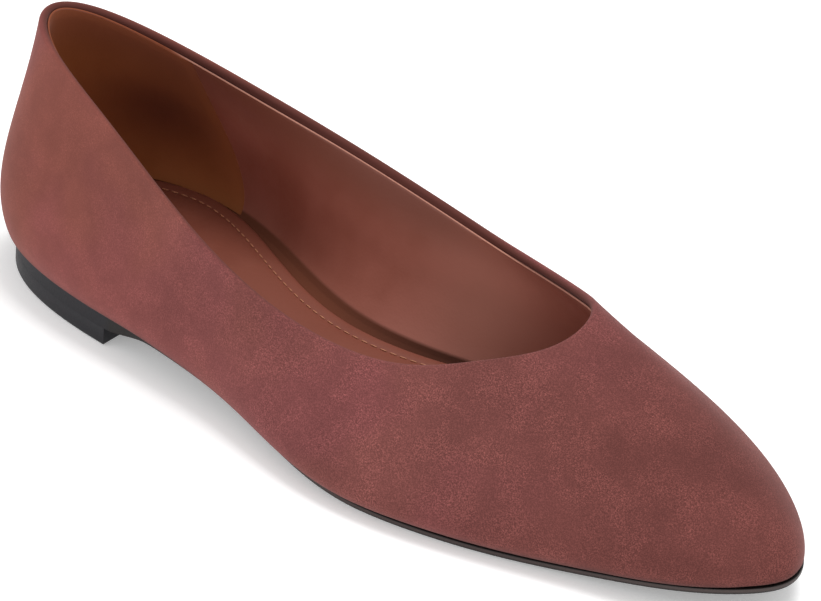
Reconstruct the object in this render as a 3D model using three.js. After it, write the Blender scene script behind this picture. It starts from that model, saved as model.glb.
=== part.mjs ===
import * as THREE from "three";

// Suede flat pump for a right foot, in millimetres.
// +X points to the toe, +Y to the wearer's left, +Z up. Heights are over the floor.

// Length and widths of the last, measured along the feather line where upper and sole meet.
const lastLength = 252;
const widths = { heel: 56, waist: 48.5, ball: 79 };

// Height of the topline at the back, on each side and at the throat.
const rims = { back: 63, lateral: 37.4, medial: 43.5, throat: 46 };

// Sole unit. The sole's edge is rounded under over soleEdgeRise of its thickness, but is flush with the
// heel over it. The extra thickness of the heel seat fades out over seatFade in front of the heel.
const heelSeatHeight = 9;
const toeSpring = 8.2;
const soleThickness = 2;
const heelSeatThickness = 4.2;
const soleStep = 2;
const soleEdgeBevel = 1.4;
const soleEdgeRise = 0.65;
const heelLength = 54;
const seatFade = 32;
const breastHollow = 1.6;
const heelEdgeRound = 0.9;

// The tread line as shares of the last's length: the arch runs from the heel to the tread,
// and the toe lifts in front of the tread.
const archStart = 0.22;
const treadStart = 0.6;
const treadEnd = 0.7;

// Wall of the upper: the folded suede at the topline, the lining that starts below it, and the margin
// that is turned in under the foot.
const foldThickness = 2;
const liningThickness = 0.7;
const liningDrop = 1.9;
const foldDepth = 9;
const wallThickness = 2;
const marginWidth = 8;
const marginThickness = 1.5;
const featherRound = 1.1;

// Padded sock on its board. At the medial waist its edge stands off the wall by sockTuck.
const sockThickness = 3.6;
const sockTuck = 3;
const sockEdgeRound = 1.2;

// Room between pieces that are glued together on the real shoe.
const clearance = 0.3;

// Ribs round the last, from the back of the heel along the lateral side to the toe and back.
// width and rim name the sizes that the shares follow.
// at and side place the foot of the rib, and topAt, topSide and topHeight its upper end.
// belly is how far the wall leans out, in shares of the width.
// rise and drop are how soon it straightens up and turns in, in shares of the wall's height.
// reach carries the turn towards the foot of the rib.
// edge is how far the sole's edge steps out, in shares of soleStep.
// tuck is how far the sock's edge stands off the wall, in shares of sockTuck.
const columns = [
  "width", "at", "side", "belly", "rise",
  "rim", "topAt", "topSide", "topHeight", "reach", "drop",
  "edge", "tuck",
];
const ribs = [
  ["heel", 0, 0, 0.067, 0.24, "back", 0.015, 0, 1.01, 0.52, 0.45, -1.2, 0],
  ["heel", 0.033, -0.284, 0.118, 0.3, "back", 0.042, -0.174, 0.987, 0.73, 0.41, -1, 0],
  ["heel", 0.149, -0.5, 0.134, 0.19, "back", 0.171, -0.372, 0.868, 0.9, 0.47, -0.5, 0],
  ["waist", 0.389, -0.694, 0.144, 0.18, "lateral", 0.389, -0.658, 1.036, 1, 0.42, -0.6, 0],
  ["ball", 0.576, -0.517, 0.123, 0.13, "lateral", 0.54, -0.361, 0.873, 1.05, 0.6, 0.2, 0],
  ["ball", 0.835, -0.315, 0.105, 0.14, "throat", 0.658, -0.208, 0.845, 1, 0.55, 0.1, 0],
  ["ball", 0.968, -0.153, 0.096, 0.19, "throat", 0.705, -0.04, 0.951, 0.75, 0.42, 0.1, 0.1],
  ["ball", 1, -0.038, 0.065, 0.36, "throat", 0.708, 0.048, 1, 0.51, 0.35, 0.1, 0.25],
  ["ball", 0.972, 0.145, 0.043, 0.37, "throat", 0.694, 0.143, 1.016, 0.45, 0.28, 0.1, 0.1],
  ["ball", 0.884, 0.335, 0.078, 0.41, "throat", 0.655, 0.242, 0.953, 0.41, 0.33, 0.1, 0],
  ["ball", 0.679, 0.484, 0.062, 0.34, "medial", 0.562, 0.342, 0.92, 0.69, 0.39, 0.2, 0],
  ["waist", 0.383, 0.303, 0.19, 0.25, "medial", 0.382, 0.6, 1.005, 0.3, 0.42, -0.6, 1],
  ["heel", 0.149, 0.5, 0.134, 0.21, "back", 0.171, 0.372, 0.868, 0.9, 0.47, -0.5, 0],
  ["heel", 0.033, 0.284, 0.118, 0.3, "back", 0.042, 0.174, 0.987, 0.7, 0.43, -1, 0],
].map((row) => Object.fromEntries(columns.map((name, column) => [name, row[column]])));
const jointRib = ribs.findIndex((rib) => rib.width === "ball");
const toeRib = ribs.reduce((toe, rib, i) => (rib.at > ribs[toe].at ? i : toe), 0);

// Fineness of the faceted surfaces.
const stationsPerSide = 52;
const wallShares = [0.06, 0.14, 0.24, 0.35, 0.47, 0.59, 0.71, 0.82];
const foldSteps = 4;
const heelWallSteps = 36;
const breastSteps = 8;

// Small share for measuring a direction, and passes enough to settle a value.
const nudge = 1e-4;
const settlingPasses = 60;

// A rounded edge goes through the middle of its quarter circle.
const quarterMiddle = 1 - Math.SQRT1_2;

const mix = THREE.MathUtils.lerp;
const smooth = THREE.MathUtils.smoothstep;

// Height of the feather line over the floor: heel seat, arch, tread and toe spring.
function featherHeight(x) {
  const share = x / lastLength;
  const arch = 1 - smooth(share, archStart, treadStart);
  const lift = Math.max(0, share - treadEnd) / (1 - treadEnd);
  return mix(soleThickness, heelSeatHeight, arch) + toeSpring * lift ** 2;
}

// How far a place lies in front of the heel seat: 0 over the heel and 1 where the seat has faded out.
function pastSeat(x) {
  return smooth(x, heelLength, heelLength + seatFade);
}

// Slopes that give a closed cubic spline an even curvature, found by relaxation.
function closedSlopes(steps, values) {
  const count = values.length;
  const slopes = new Array(count).fill(0);
  for (let pass = 0; pass < settlingPasses; pass += 1) {
    for (let i = 0; i < count; i += 1) {
      const before = (i + count - 1) % count;
      const after = (i + 1) % count;
      const back = steps[before];
      const ahead = steps[i];
      const fromBefore = (values[i] - values[before]) / back;
      const toAfter = (values[after] - values[i]) / ahead;
      const pull = 3 * (fromBefore / back + toAfter / ahead);
      slopes[i] = (pull - slopes[before] / back - slopes[after] / ahead) / (2 / back + 2 / ahead);
    }
  }
  return slopes;
}

// Each rib in millimetres.
const placedRibs = ribs.map((rib) => {
  const width = widths[rib.width];
  const x = rib.at * lastLength;
  const top = rib.topHeight * rims[rib.rim];
  const wall = top - featherHeight(x);
  return {
    x,
    y: rib.side * width,
    belly: rib.belly * width,
    rise: rib.rise * wall,
    topX: rib.topAt * lastLength,
    topY: rib.topSide * width,
    topZ: top,
    reach: rib.reach,
    drop: rib.drop * wall,
    edge: rib.edge * soleStep,
    tuck: rib.tuck * sockTuck,
  };
});

// Spacing of the ribs along the feather line, a little evened out, and the spline through each column.
const evenness = 0.8;
const steps = placedRibs.map((rib, i) => {
  const next = placedRibs[(i + 1) % placedRibs.length];
  return Math.hypot(next.x - rib.x, next.y - rib.y) ** evenness;
});
const starts = steps.map((_, i) => steps.slice(0, i).reduce((sum, step) => sum + step, 0));
const roundTrip = steps.reduce((sum, step) => sum + step, 0);
const slopesOf = Object.fromEntries(Object.keys(placedRibs[0]).map((name) => {
  return [name, closedSlopes(steps, placedRibs.map((rib) => rib[name]))];
}));

// All columns at a place along the round trip.
function ribAt(place) {
  const along = ((place % roundTrip) + roundTrip) % roundTrip;
  const i = starts.findLastIndex((start) => start <= along);
  const next = (i + 1) % placedRibs.length;
  const step = steps[i];
  const u = (along - starts[i]) / step;
  const rib = {};
  for (const name of Object.keys(slopesOf)) {
    const from = placedRibs[i][name];
    const to = placedRibs[next][name];
    const leave = slopesOf[name][i] * step;
    const arrive = slopesOf[name][next] * step;
    const bend = 2 * (from - to) + leave + arrive;
    rib[name] = from + u * (leave + u * (3 * (to - from) - 2 * leave - arrive + u * bend));
  }
  return rib;
}

// Place along the round trip of a station: even steps from heel to toe on each side.
function placeOf(station) {
  const toe = starts[toeRib];
  const side = station / stationsPerSide;
  return side <= 1 ? side * toe : toe + (side - 1) * (roundTrip - toe);
}

// Outward direction of the feather line in plan.
function outwardAt(place) {
  const before = ribAt(place - nudge * roundTrip);
  const after = ribAt(place + nudge * roundTrip);
  return new THREE.Vector2(after.y - before.y, before.x - after.x).normalize();
}

// A point beside the feather line: out from it in plan, and up from the feather height there.
function besideFeather(place, out, up) {
  const rib = ribAt(place);
  const outward = outwardAt(place);
  const x = rib.x + outward.x * out;
  const y = rib.y + outward.y * out;
  return new THREE.Vector3(x, y, featherHeight(x) + up);
}

// Outer face of the upper: each rib is one cubic curve from the feather line to the topline.
function outerFace(place, share) {
  const rib = ribAt(place);
  const outward = outwardAt(place);
  const foot = new THREE.Vector3(rib.x, rib.y, featherHeight(rib.x));
  const top = new THREE.Vector3(rib.topX, rib.topY, rib.topZ);
  const low = new THREE.Vector3(
    foot.x + outward.x * rib.belly,
    foot.y + outward.y * rib.belly,
    foot.z + rib.rise,
  );
  const high = new THREE.Vector3(
    mix(top.x, foot.x, rib.reach),
    mix(top.y, foot.y, rib.reach),
    top.z - rib.drop,
  );
  return new THREE.CubicBezierCurve3(foot, low, high, top).getPoint(share);
}

// The outer face with its normal and its direction up the rib.
function faceFrame(place, share) {
  const step = nudge * roundTrip;
  const point = outerFace(place, share);
  const along = outerFace(place + step, share).sub(outerFace(place - step, share));
  const up = outerFace(place, share + nudge).sub(outerFace(place, share - nudge));
  const length = up.length() / (2 * nudge);
  const normal = along.clone().cross(up).normalize();
  return { point, normal, up: up.normalize(), length };
}

// A point inside the wall: depth in from the outer face.
function wallPoint(place, share, depth) {
  const { point, normal } = faceFrame(place, share);
  return point.addScaledVector(normal, -depth);
}

// Closed section of the upper at a place: margin, outer face, rolled topline, lining and margin again.
function upperSection(place) {
  const rimFrame = faceFrame(place, 1);
  const roll = foldThickness / 2;
  const shareAt = (below) => 1 - below / rimFrame.length;
  const section = [
    besideFeather(place, -marginWidth, 0),
    besideFeather(place, -featherRound, 0),
    besideFeather(place, -featherRound * quarterMiddle, featherRound * quarterMiddle),
  ];
  for (const share of wallShares) {
    section.push(wallPoint(place, share, 0));
  }
  const centre = rimFrame.point.clone()
    .addScaledVector(rimFrame.normal, -roll)
    .addScaledVector(rimFrame.up, -roll);
  for (let step = 0; step <= foldSteps; step += 1) {
    const turn = (Math.PI * step) / foldSteps;
    section.push(centre.clone()
      .addScaledVector(rimFrame.normal, roll * Math.cos(turn))
      .addScaledVector(rimFrame.up, roll * Math.sin(turn)));
  }
  const lined = foldThickness + liningThickness;
  section.push(wallPoint(place, shareAt(liningDrop), foldThickness));
  section.push(wallPoint(place, shareAt(liningDrop + clearance), lined));
  section.push(wallPoint(place, shareAt(foldDepth), lined));
  for (const share of wallShares.toReversed().slice(1)) {
    section.push(wallPoint(place, share, wallThickness));
  }
  section.push(besideFeather(place, -wallThickness - featherRound, marginThickness));
  section.push(besideFeather(place, -marginWidth, marginThickness));
  return section;
}

// Solid from a grid of points: one closed section per station, joined round the shoe.
function ringOfSections(sections) {
  const around = sections.length;
  const across = sections[0].length;
  const at = (i, j) => (i % around) * across + (j % across);
  const faces = [];
  for (let i = 0; i < around; i += 1) {
    for (let j = 0; j < across; j += 1) {
      faces.push(at(i, j), at(i + 1, j), at(i + 1, j + 1));
      faces.push(at(i, j), at(i + 1, j + 1), at(i, j + 1));
    }
  }
  return solid(sections.flat(), faces);
}

// Faces round the sides of a stack of outlines, lowest first.
function sideFaces(outlines) {
  const around = outlines[0].length;
  const faces = [];
  for (let level = 0; level + 1 < outlines.length; level += 1) {
    for (let i = 0; i < around; i += 1) {
      const a = level * around + i;
      const b = level * around + ((i + 1) % around);
      faces.push(a, b, b + around, a, b + around, a + around);
    }
  }
  return faces;
}

// Solid from a stack of outlines. Rungs across the shoe close its top and bottom.
function stackOfOutlines(outlines) {
  const around = outlines[0].length;
  const half = around / 2;
  const last = (outlines.length - 1) * around;
  const faces = sideFaces(outlines);
  for (let i = 0; i < half; i += 1) {
    const right = [i, i + 1];
    const left = [(around - i) % around, around - i - 1];
    if (i > 0) {
      faces.push(right[0], left[0], left[1]);
      faces.push(last + right[0], last + left[1], last + left[0]);
    }
    if (right[1] !== left[1]) {
      faces.push(right[0], left[1], right[1]);
      faces.push(last + right[0], last + right[1], last + left[1]);
    }
  }
  return solid(outlines.flat(), faces);
}

function solid(points, faces) {
  const geometry = new THREE.BufferGeometry().setFromPoints(points);
  geometry.setIndex(faces);
  geometry.computeVertexNormals();
  return geometry;
}

const places = Array.from({ length: 2 * stationsPerSide }, (_, station) => placeOf(station));

// Suede upper with its lining, open at the collar and underneath.
function upperGeometry() {
  return ringOfSections(places.map(upperSection));
}

// Outsole: its underside has a bevelled edge, and its top lies just under the margin of the upper.
function outsoleGeometry() {
  const outline = (inset, level) => places.map((place) => {
    const rib = ribAt(place);
    const point = besideFeather(place, rib.edge - inset * pastSeat(rib.x), 0);
    const thickness = mix(heelSeatThickness, soleThickness, pastSeat(point.x));
    point.z -= mix(thickness, clearance, level);
    return point;
  });
  return stackOfOutlines([
    outline(soleEdgeBevel, 0),
    outline(soleEdgeBevel * quarterMiddle, soleEdgeRise * quarterMiddle),
    outline(0, soleEdgeRise),
    outline(0, 1),
  ]);
}

// Padded sock on its board: it lies on the margin and its top edge is rounded.
function insoleGeometry() {
  const outline = (inset, up) => places.map((place) => {
    const fromFeather = wallThickness + clearance + Math.max(0, ribAt(place).tuck) + inset;
    return besideFeather(place, -fromFeather, marginThickness + clearance + up);
  });
  return stackOfOutlines([
    outline(sockEdgeRound, 0),
    outline(0, sockEdgeRound),
    outline(0, sockThickness - sockEdgeRound),
    outline(sockEdgeRound * quarterMiddle, sockThickness - sockEdgeRound * quarterMiddle),
    outline(sockEdgeRound, sockThickness),
  ]);
}

// Place on one side of the heel where the feather line reaches the breast.
function breastPlace(side) {
  let near = 0;
  let far = side * starts[jointRib];
  for (let halving = 0; halving < settlingPasses; halving += 1) {
    const middle = (near + far) / 2;
    if (ribAt(middle).x < heelLength) {
      near = middle;
    } else {
      far = middle;
    }
  }
  return near;
}

// Plan outline of the heel, drawn in by an inset. It is flush with the sole's edge, with a hollow breast.
function heelOutline(inset) {
  const medial = breastPlace(-1);
  const lateral = breastPlace(1);
  const points = [];
  for (let step = 0; step <= heelWallSteps; step += 1) {
    const place = mix(medial, lateral, step / heelWallSteps);
    const { x, y } = besideFeather(place, ribAt(place).edge - inset, 0);
    points.push(new THREE.Vector2(x, y));
  }
  const left = points[0];
  const right = points[heelWallSteps];
  left.x -= inset;
  right.x -= inset;
  for (let step = 1; step < breastSteps; step += 1) {
    const across = step / breastSteps;
    const hollow = breastHollow * (1 - (2 * across - 1) ** 2);
    points.push(new THREE.Vector2(mix(right.x, left.x, across) - hollow, mix(right.y, left.y, across)));
  }
  return points;
}

// Heel block with a rounded ground edge.
function heelGeometry() {
  const top = heelSeatHeight - heelSeatThickness - clearance;
  const levels = [
    { inset: heelEdgeRound, z: 0 },
    { inset: heelEdgeRound * quarterMiddle, z: heelEdgeRound * quarterMiddle },
    { inset: 0, z: heelEdgeRound },
    { inset: 0, z: top },
  ];
  const outlines = levels.map(({ inset }) => heelOutline(inset));
  const last = (levels.length - 1) * outlines[0].length;
  const faces = sideFaces(outlines);
  for (const [a, b, c] of THREE.ShapeUtils.triangulateShape(outlines[0], [])) {
    faces.push(a, c, b);
  }
  for (const [a, b, c] of THREE.ShapeUtils.triangulateShape(outlines.at(-1), [])) {
    faces.push(last + a, last + b, last + c);
  }
  const points = outlines.flatMap((outline, level) => {
    return outline.map(({ x, y }) => new THREE.Vector3(x, y, levels[level].z));
  });
  return solid(points, faces);
}

function piece(name, geometry, color, roughness) {
  const material = new THREE.MeshStandardMaterial({ color, roughness, metalness: 0 });
  const mesh = new THREE.Mesh(geometry, material);
  mesh.name = name;
  return mesh;
}

const shoe = new THREE.Group();
shoe.add(piece("upper", upperGeometry(), 0x8a504b, 0.95));
shoe.add(piece("insole", insoleGeometry(), 0x6e3b2c, 0.55));
shoe.add(piece("outsole", outsoleGeometry(), 0x2b2524, 0.6));
shoe.add(piece("heel", heelGeometry(), 0x1c1b1d, 0.5));

// The origin is the middle of the heel's ground face.
shoe.position.x = -heelLength / 2;

export default shoe;
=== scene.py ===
"""Suede flat pump for a right foot: the finish of every piece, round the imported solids.

Sizes are in millimetres and become metres where a mesh is made. x runs from the back of the
feather line at the heel to the toe, +y to the wearer's left, z up from the floor.
"""

import math

import bpy
import numpy as np
from mathutils import Matrix, Vector


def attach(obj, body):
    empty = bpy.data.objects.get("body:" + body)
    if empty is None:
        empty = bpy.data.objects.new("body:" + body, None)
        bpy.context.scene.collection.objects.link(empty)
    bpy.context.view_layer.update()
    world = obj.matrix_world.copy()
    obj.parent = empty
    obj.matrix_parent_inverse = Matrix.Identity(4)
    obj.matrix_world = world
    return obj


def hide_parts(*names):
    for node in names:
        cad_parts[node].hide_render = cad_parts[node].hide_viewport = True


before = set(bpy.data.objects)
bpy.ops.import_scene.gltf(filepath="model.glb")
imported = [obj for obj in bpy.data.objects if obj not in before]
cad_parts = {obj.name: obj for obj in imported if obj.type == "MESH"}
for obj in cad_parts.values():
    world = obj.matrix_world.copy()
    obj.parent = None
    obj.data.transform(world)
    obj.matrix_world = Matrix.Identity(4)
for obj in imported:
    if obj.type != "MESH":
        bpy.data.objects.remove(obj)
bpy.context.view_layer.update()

MM = 0.001

# Length and widths of the last along the feather line, where upper and sole meet.
LAST_LENGTH = 252.0
WIDTHS = {"heel": 56.0, "waist": 48.5, "ball": 79.0}

# Height of the topline at the back, on each side and at the throat.
RIMS = {"back": 63.0, "lateral": 37.4, "medial": 43.5, "throat": 46.0}

# Sole unit.
HEEL_SEAT_HEIGHT = 9.0
TOE_SPRING = 8.2
SOLE_THICKNESS = 2.0
HEEL_SEAT_THICKNESS = 4.2
SOLE_STEP = 2.0
SOLE_EDGE_BEVEL = 1.4
SOLE_EDGE_RISE = 0.65
HEEL_LENGTH = 54.0
BREAST_HOLLOW = 1.6
HEEL_EDGE_ROUND = 0.9
HEEL_TOP_ROUND = 0.05

# Length in front of the heel over which the heel seat's extra thickness fades out.
SEAT_FADE = 16.0

# Shares of the length where the arch starts to fall, and where the flat tread starts and ends.
ARCH_START = 0.22
TREAD_START = 0.6
TREAD_END = 0.7

# The sole's side above its rounded edge: how far in, and at which share of the thickness.
SOLE_SIDE = ((0, 0.75), (0, 0.84), (0, 0.92), (0.1, 0.97), (0.3, 1))

# Painted lit band on the sole's side, lighter where light falls on its middle: shares of the thickness
# between which it begins and ends, and the stretch of the shoe over which it comes in.
BAND_FOOT = (0.3, 0.5)
BAND_HEAD = (0.75, 0.86)
BAND_START = (90.0, 150.0)

# Length in front of the heel over which the sole's side takes on its own shade.
HEEL_SHADE_FADE = 2.0

# Wall of the upper: suede folded over at the topline, and the lining that starts below the fold.
FOLD_THICKNESS = 2.0
FOLD_DEPTH = 9.0
SUEDE_THICKNESS = 1.3
LINING_THICKNESS = 0.65
LINING_DROP = 1.9
LINING_DROP_BACK = 0.8
LINING_DROP_REACH = 60.0
EDGE_WIDTH = 0.36
EDGE_GROOVE = 0.5
EDGE_ROUND = 0.15
WALL_THICKNESS = 2.0
MARGIN_WIDTH = 8.0
MARGIN_THICKNESS = 1.5
FEATHER_ROUND = 1.1
GLUE_GAP = 0.03

# Share of the wall below the fold over which the lining settles back to the wall's own thickness.
LINING_SETTLE = 0.45

# Shares up the wall: where the lining's back starts to rise over the fold, where the suede's back
# has come down from the fold, and where suede, lining and heel grip start above the feather line.
LINING_RISE = 0.8
FOLD_SLOPE = 0.98
SUEDE_FOOT_SHARE = 0.03
LINING_FOOT_SHARE = 0.05
GRIP_FOOT_SHARE = 0.08

# The fold's inner face starts this many radii of the fold below the topline.
FOLD_START = 1.5

# Suede patch inside the heel: how far forward it reaches at the topline and at the sock.
GRIP_TOP = 31.0
GRIP_FOOT = 45.0
GRIP_THICKNESS = 0.35

# Its gap below the lining's cut edge, its height over the lining where it is thinned down and the
# glue under it, and the width over which it is thinned down, in columns of its mesh and from its top.
GRIP_RIM = 0.3
GRIP_EDGE = 0.04
GRIP_GLUE = 0.01
SKIVE_COLUMNS = 4
SKIVE_WIDTH = 2.0

# Spot of painted shade on the medial side of the heel grip: its middle and how far it reaches.
GRIP_SHADE_SPOT = (20.0, 24.0, 34.0)
GRIP_SHADE_REACH = (16.0, 16.0, 13.0)

# Painted highlight on the lining in front of the arch, a lighter and pinker spot: its middle and how far
# it reaches.
HIGHLIGHT_SPOT = (129.0, 26.0, 20.0)
HIGHLIGHT_REACH = (17.0, 14.0, 13.0)

# Painted shade on the lining just below its cut edge: depth below the topline over which it ends, and
# the share of it that is missing near the throat, with the stretch over which it goes.
EDGE_SHADE_DEPTH = (3.0, 16.0)
EDGE_SHADE_LESS = 0.7
THROAT_START = (110.0, 150.0)

# Grip leather over the cut edge: where it ends, from the front of the grip's top.
COVER_END = (-2.0, 4.0)

# Dye that has rubbed off on the top of the grip: its share, and the depth over which it ends.
RUBBED_SHARE = 0.85
RUBBED_DEPTH = (2.0, 20.0)

# Depth below the sock's top over which the lining turns bare, dull and darker, the darkness partly glue
# and partly painted shade.
TROUGH_DEPTH = (0.7, 1.5)

# Shares of the topline's roll between which the suede takes on the darker colour of the fold's inside,
# painted shade.
FOLD_SHADE = (0.2, 0.7)

# Soft hollows (and, below zero, swells) of the suede where the heel stiffener ends and the foot bends:
# x, side, share up the wall, reach along the shoe, reach up the wall in shares, and depth.
HOLLOWS = (
    (66.0, -1, 0.5, 8.0, 0.5, 0.2),
    (64.0, 1, 0.5, 8.0, 0.5, 0.2),
    (118.0, -1, 0.35, 15.0, 0.3, -0.15),
    (150.0, -1, 0.5, 13.0, 0.25, 0.18),
    (158.0, 1, 0.45, 14.0, 0.3, 0.18),
    (196.0, -1, 0.55, 16.0, 0.25, -0.12),
)

# Padded sock and its stitch line.
SOCK_THICKNESS = 3.6
SOCK_TUCK = 3.0
SOCK_EDGE_ROUND = 1.2
SOCK_CROWN = 0.5
STITCH_INSET = 4.0
STITCH_SINK = 0.1
STITCH_PITCH = 2.7
STITCH_LENGTH = 2.0
THREAD_WIDTH = 0.34

# Section of the stitches' channel: how far in from the stitches, and how deep.
CHANNEL = ((-1.5, 0), (-0.5, 0.14), (0, 0.3), (0.5, 0.14), (1.5, -0.06))

# Soft hollows of the sock under the heel and the ball of the foot: x, reach along the shoe, reach
# across it in shares of the width, and depth.
SOCK_HOLLOWS = (
    (30.0, 22.0, 0.3, 0.9),
    (178.0, 26.0, 0.32, 0.5),
)

CLEARANCE = 0.3

# The sole is cemented to the upper and the heel to the sole, with only a thin line between them.
UPPER_GAP = 0.12
HEEL_GAP = 0.04

# Ribs round the last, from the back of the heel along the lateral side to the toe and back.
# width and rim name the sizes that the shares follow.
# at and side place the foot of the rib, and top_at, top_side and top_height its upper end.
# belly is how far the wall leans out, in shares of the width.
# rise and drop are how soon it straightens up and turns in, in shares of the wall's height.
# reach carries the turn towards the foot of the rib.
# edge is how far the sole's edge steps out, in shares of SOLE_STEP.
# tuck is how far the sock's edge stands off the wall, in shares of SOCK_TUCK.
COLUMNS = (
    "width", "at", "side", "belly", "rise",
    "rim", "top_at", "top_side", "top_height", "reach", "drop",
    "edge", "tuck",
)
RIBS = (
    ("heel", 0, 0, 0.067, 0.24, "back", 0.015, 0, 1.01, 0.52, 0.45, -1.2, 0),
    ("heel", 0.033, -0.284, 0.118, 0.3, "back", 0.042, -0.174, 0.987, 0.73, 0.41, -1, 0),
    ("heel", 0.149, -0.5, 0.134, 0.19, "back", 0.171, -0.372, 0.868, 0.9, 0.47, -0.5, 0),
    ("waist", 0.389, -0.694, 0.144, 0.18, "lateral", 0.389, -0.658, 1.036, 1, 0.42, -0.6, 0),
    ("ball", 0.576, -0.517, 0.123, 0.13, "lateral", 0.54, -0.361, 0.873, 1.05, 0.6, 0.2, 0),
    ("ball", 0.835, -0.315, 0.105, 0.14, "throat", 0.658, -0.208, 0.845, 1, 0.55, 0.1, 0),
    ("ball", 0.968, -0.153, 0.096, 0.19, "throat", 0.705, -0.04, 0.951, 0.75, 0.42, 0.1, 0.1),
    ("ball", 1, -0.038, 0.065, 0.36, "throat", 0.708, 0.048, 1, 0.51, 0.35, 0.1, 0.25),
    ("ball", 0.972, 0.145, 0.043, 0.37, "throat", 0.694, 0.143, 1.016, 0.45, 0.28, 0.1, 0.1),
    ("ball", 0.884, 0.335, 0.078, 0.41, "throat", 0.655, 0.242, 0.953, 0.41, 0.33, 0.1, 0),
    ("ball", 0.679, 0.484, 0.062, 0.34, "medial", 0.562, 0.342, 0.92, 0.69, 0.39, 0.2, 0),
    ("waist", 0.383, 0.303, 0.19, 0.25, "medial", 0.382, 0.6, 1.005, 0.3, 0.42, -0.6, 1),
    ("heel", 0.149, 0.5, 0.134, 0.21, "back", 0.171, 0.372, 0.868, 0.9, 0.47, -0.5, 0),
    ("heel", 0.033, 0.284, 0.118, 0.3, "back", 0.042, 0.174, 0.987, 0.7, 0.43, -1, 0),
)
TOE_RIB = 7
EVENNESS = 0.8

# Ribs in front of the heel on each side, at which a search along that side ends.
LATERAL_END_RIB = 4
MEDIAL_END_RIB = 9
HALVINGS = 50

# Fineness of the meshes.
STATIONS_PER_SIDE = 210
FACE_STEPS = 72
FOLD_STEPS = 10
FOLD_INNER_STEPS = 8
SUEDE_BACK_STEPS = 24
LINING_TOP_STEPS = 12
LINING_FACE_STEPS = 60
LINING_BACK_STEPS = 20
GRIP_COLUMNS = 120
GRIP_ROWS = 50
SOCK_COLUMNS = 24
SOLE_COLUMNS = 12
HEEL_WALL_STEPS = 160
BREAST_STEPS = 24
STITCH_SEGMENTS = 10
STITCH_RINGS = 6
QUARTER_TURN = np.linspace(0, math.pi / 2, 6)

# Edges that turn by more degrees than this stay crisp.
CORNER_ANGLE = 50

# Light that comes up through the white floor, as on a lit table, and light from all round.
FLOOR_GLOW = 0.28
ROOM_LIGHT = 0.8
WHITE = (1, 1, 1, 1)

# Width of the floor in metres.
FLOOR_WIDTH = 8.0

# Soft boxes: place, width and height in metres and power in watts. All face one point of the shoe.
SOFT_BOXES = (
    ("overhead", (0.2, 0.35, 1.85), (0.9, 0.9), 18),
    ("low_fill", (-0.5, -1.6, 0.3), (2.0, 0.4), 5),
)
LIT_POINT = (0.1, 0, 0.03)

# Step to either side for a direction, in shares, and the middle of a rounded corner in shares of it.
NUDGE = 1e-4
QUARTER_MIDDLE = 1 - math.sqrt(0.5)


# The last.

def mix(start, end, share):
    return start + (end - start) * share


def smooth(value, start, end):
    """Share that eases from 0 at the start to 1 at the end."""
    share = np.clip((value - start) / (end - start), 0, 1)
    return share * share * (3 - 2 * share)


def evenly(count):
    """Even shares from 0 to 1, as one row."""
    return np.linspace(0, 1, count)[None, :]


def feather_height(x):
    """Height of the feather line over the floor: heel seat, arch, tread and toe spring."""
    share = x / LAST_LENGTH
    arch = 1 - smooth(share, ARCH_START, TREAD_START)
    lift = np.maximum(0, share - TREAD_END) / (1 - TREAD_END)
    return mix(SOLE_THICKNESS, HEEL_SEAT_HEIGHT, arch) + TOE_SPRING * lift**2


def past_seat(x):
    """0 over the heel, and 1 where the heel seat's extra thickness has faded out in front of it."""
    return smooth(x, HEEL_LENGTH, HEEL_LENGTH + SEAT_FADE)


def sole_thickness(x):
    return mix(HEEL_SEAT_THICKNESS, SOLE_THICKNESS, past_seat(x))


def placed_ribs():
    """Every rib in millimetres, one column for each quantity."""
    placed = {name: [] for name in (
        "x", "y", "belly", "rise", "top_x", "top_y", "top_z", "reach", "drop", "edge", "tuck",
    )}
    for row in RIBS:
        rib = dict(zip(COLUMNS, row))
        width = WIDTHS[rib["width"]]
        x = rib["at"] * LAST_LENGTH
        top = rib["top_height"] * RIMS[rib["rim"]]
        wall = top - feather_height(x)
        values = {
            "x": x, "y": rib["side"] * width,
            "belly": rib["belly"] * width, "rise": rib["rise"] * wall,
            "top_x": rib["top_at"] * LAST_LENGTH, "top_y": rib["top_side"] * width, "top_z": top,
            "reach": rib["reach"], "drop": rib["drop"] * wall,
            "edge": rib["edge"] * SOLE_STEP, "tuck": rib["tuck"] * SOCK_TUCK,
        }
        for name, value in values.items():
            placed[name].append(value)
    return {name: np.array(values, float) for name, values in placed.items()}


def closed_slopes(steps, values):
    """Slopes that give a closed cubic spline an even curvature."""
    count = len(values)
    back, ahead = np.roll(steps, 1), steps
    matrix = np.diag(2 / back + 2 / ahead)
    for i in range(count):
        matrix[i, i - 1] += 1 / back[i]
        matrix[i, (i + 1) % count] += 1 / ahead[i]
    rise_back = (values - np.roll(values, 1)) / back**2
    rise_ahead = (np.roll(values, -1) - values) / ahead**2
    return np.linalg.solve(matrix, 3 * (rise_back + rise_ahead))


PLACED = placed_ribs()
STEPS = np.hypot(
    np.roll(PLACED["x"], -1) - PLACED["x"], np.roll(PLACED["y"], -1) - PLACED["y"]
) ** EVENNESS
STARTS = np.concatenate([[0], np.cumsum(STEPS)[:-1]])
ROUND_TRIP = STEPS.sum()
SLOPES = {name: closed_slopes(STEPS, values) for name, values in PLACED.items()}


def rib_at(place):
    """All quantities at places along the round trip."""
    along = np.mod(place, ROUND_TRIP)
    i = np.searchsorted(STARTS, along, side="right") - 1
    after = (i + 1) % len(STEPS)
    step = STEPS[i]
    u = (along - STARTS[i]) / step
    rib = {}
    for name, values in PLACED.items():
        start, end = values[i], values[after]
        leave, arrive = SLOPES[name][i] * step, SLOPES[name][after] * step
        bend = 2 * (start - end) + leave + arrive
        rib[name] = start + u * (leave + u * (3 * (end - start) - 2 * leave - arrive + u * bend))
    return rib


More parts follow.
